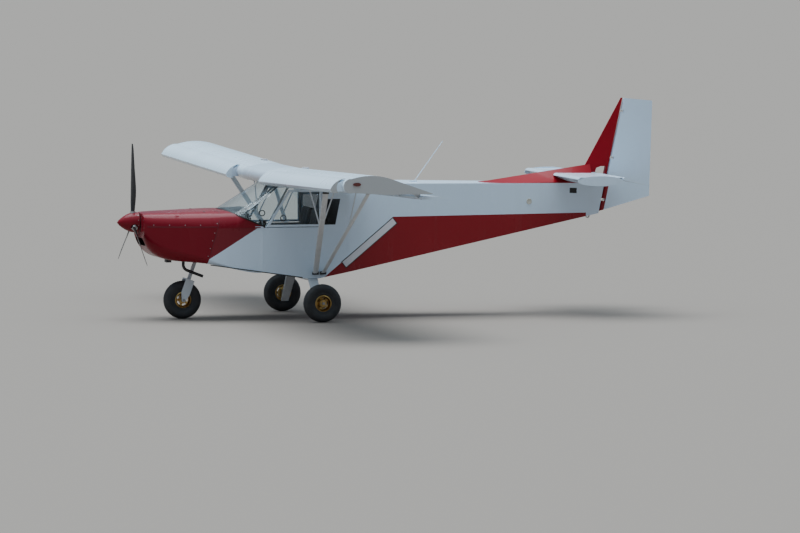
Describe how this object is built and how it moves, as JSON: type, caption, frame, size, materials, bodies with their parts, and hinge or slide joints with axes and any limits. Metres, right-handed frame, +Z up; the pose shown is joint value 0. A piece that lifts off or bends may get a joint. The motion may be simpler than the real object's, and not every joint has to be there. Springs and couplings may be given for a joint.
{
  "type": "ultralight aircraft",
  "caption": "High-wing two-seat ultralight aircraft with slats, hung flaperons, strut-braced wing, nose-wheel gear, pointed spinner and swept fin; red and white.",
  "frame": {"origin": "on the ground under the middle of the aircraft's overall box", "axes": "nose towards -X, starboard towards +Y, +Z up; the aircraft stands on its gear"},
  "size_m": [6.496, 9, 2.5379],
  "materials": {
    "white_skin": "gloss",
    "white_foam": "gloss",
    "red_skin": "gloss",
    "red_cowl": "gloss",
    "bare_skin": "satin",
    "black_steel": "matte",
    "steel": "satin",
    "engine": "matte",
    "panel": "matte",
    "clear": "gloss",
    "frame_tube": "satin",
    "seat_cloth": "matte",
    "tyre": "matte",
    "gold_rim": "satin",
    "fork_paint": "satin",
    "blade": "satin",
    "cap_plastic": "satin",
    "lamp_plastic": "gloss"
  },
  "bodies": {
    "airframe": {"cowl_upper": "red_cowl", "cowl_lower": "red_cowl", "cowl_outlet": "black_steel", "engine_block": "engine", "cabin_tub": "white_skin", "forward_deck": "red_skin", "instrument_panel": "panel", "windshield": "clear", "wing_center": "white_foam", "rear_cabin_skin": "white_skin", "rear_windows": "clear", "bulkheads": "bare_skin", "cabin_frame": "frame_tube", "seat_pan": "bare_skin", "seats": "seat_cloth", "control_stick": "frame_tube", "rear_fuselage": "white_skin", "stabilizer": "white_skin", "fin": "red_skin", "dorsal_fairing": "red_skin", "wing_left": "white_skin", "wing_right": "white_skin", "slat_left": "white_foam", "slat_right": "white_foam", "slat_brackets": "white_skin", "flaperon_brackets": "bare_skin", "tail_hinges": "bare_skin", "wing_struts": "white_skin", "jury_struts": "white_skin", "strut_fittings": "black_steel", "main_gear_leaf": "white_skin", "main_axles": "steel", "nose_leg_bearings": "bare_skin", "exhaust_pipe": "black_steel", "door_hinges": "steel", "antenna": "white_foam", "fuel_caps": "cap_plastic", "nav_lights": "lamp_plastic", "tail_tiedown": "steel"},
    "flaperon_left": {"flaperon_left": "white_skin"},
    "flaperon_right": {"flaperon_right": "white_skin"},
    "elevator": {"elevator": "white_skin"},
    "rudder": {"rudder": "white_skin"},
    "main_wheel_left": {"main_tyre_left": "tyre", "main_rim_left": "gold_rim"},
    "main_wheel_right": {"main_tyre_right": "tyre", "main_rim_right": "gold_rim"},
    "nose_wheel": {"nose_tyre": "tyre", "nose_rim": "gold_rim"},
    "nose_fork": {"nose_fork": "fork_paint", "nose_axle": "steel"},
    "propeller": {"propeller_blades": "blade", "prop_hub": "bare_skin", "spinner": "red_cowl"},
    "door_left": {"door_frame_left": "white_skin", "door_window_left": "clear"},
    "door_right": {"door_frame_right": "white_skin", "door_window_right": "clear"}
  },
  "joints": [
    {"name": "propeller_spin", "type": "hinge", "parent": "airframe", "child": "propeller", "pos_m": [-3.06, 0, 1.137], "axis": [1, 0, 0], "continuous": true},
    {"name": "main_wheel_left_spin", "type": "hinge", "parent": "airframe", "child": "main_wheel_left", "pos_m": [-1.027, -1.015, 0.2225], "axis": [0, 1, 0], "continuous": true},
    {"name": "main_wheel_right_spin", "type": "hinge", "parent": "airframe", "child": "main_wheel_right", "pos_m": [-1.027, 1.015, 0.2225], "axis": [0, 1, 0], "continuous": true},
    {"name": "nose_steer", "type": "hinge", "parent": "airframe", "child": "nose_fork", "pos_m": [-2.47658, 0, 0.22489], "axis": [0.342, 0, 0.9397], "range_deg": [-18, 18]},
    {"name": "nose_wheel_spin", "type": "hinge", "parent": "nose_fork", "child": "nose_wheel", "pos_m": [-2.47, 0, 0.2225], "axis": [0, 1, 0], "continuous": true},
    {"name": "door_left_open", "type": "hinge", "parent": "airframe", "child": "door_left", "pos_m": [-1.112, -0.545, 1.541], "axis": [-1, 0, 0], "range_deg": [0, 80]},
    {"name": "door_right_open", "type": "hinge", "parent": "airframe", "child": "door_right", "pos_m": [-1.112, 0.545, 1.541], "axis": [1, 0, 0], "range_deg": [0, 80]},
    {"name": "flaperon_left_tilt", "type": "hinge", "parent": "airframe", "child": "flaperon_left", "pos_m": [-0.672, -2.4675, 1.56653], "axis": [0, 0.9997, -0.0227], "range_deg": [-15, 30]},
    {"name": "flaperon_right_tilt", "type": "hinge", "parent": "airframe", "child": "flaperon_right", "pos_m": [-0.672, 2.4675, 1.56653], "axis": [0, 0.9997, 0.0227], "range_deg": [-15, 30]},
    {"name": "elevator_tilt", "type": "hinge", "parent": "airframe", "child": "elevator", "pos_m": [2.576, 0, 1.633], "axis": [0, 1, 0], "range_deg": [-42, 12]},
    {"name": "rudder_swing", "type": "hinge", "parent": "airframe", "child": "rudder", "pos_m": [2.613, 0, 1.189], "axis": [0.2147, 0, 0.9767], "range_deg": [-20, 20]}
  ],
  "couplings": [
    {"joint": "rudder_swing", "follows": "nose_steer", "ratio": -1.111}
  ]
}
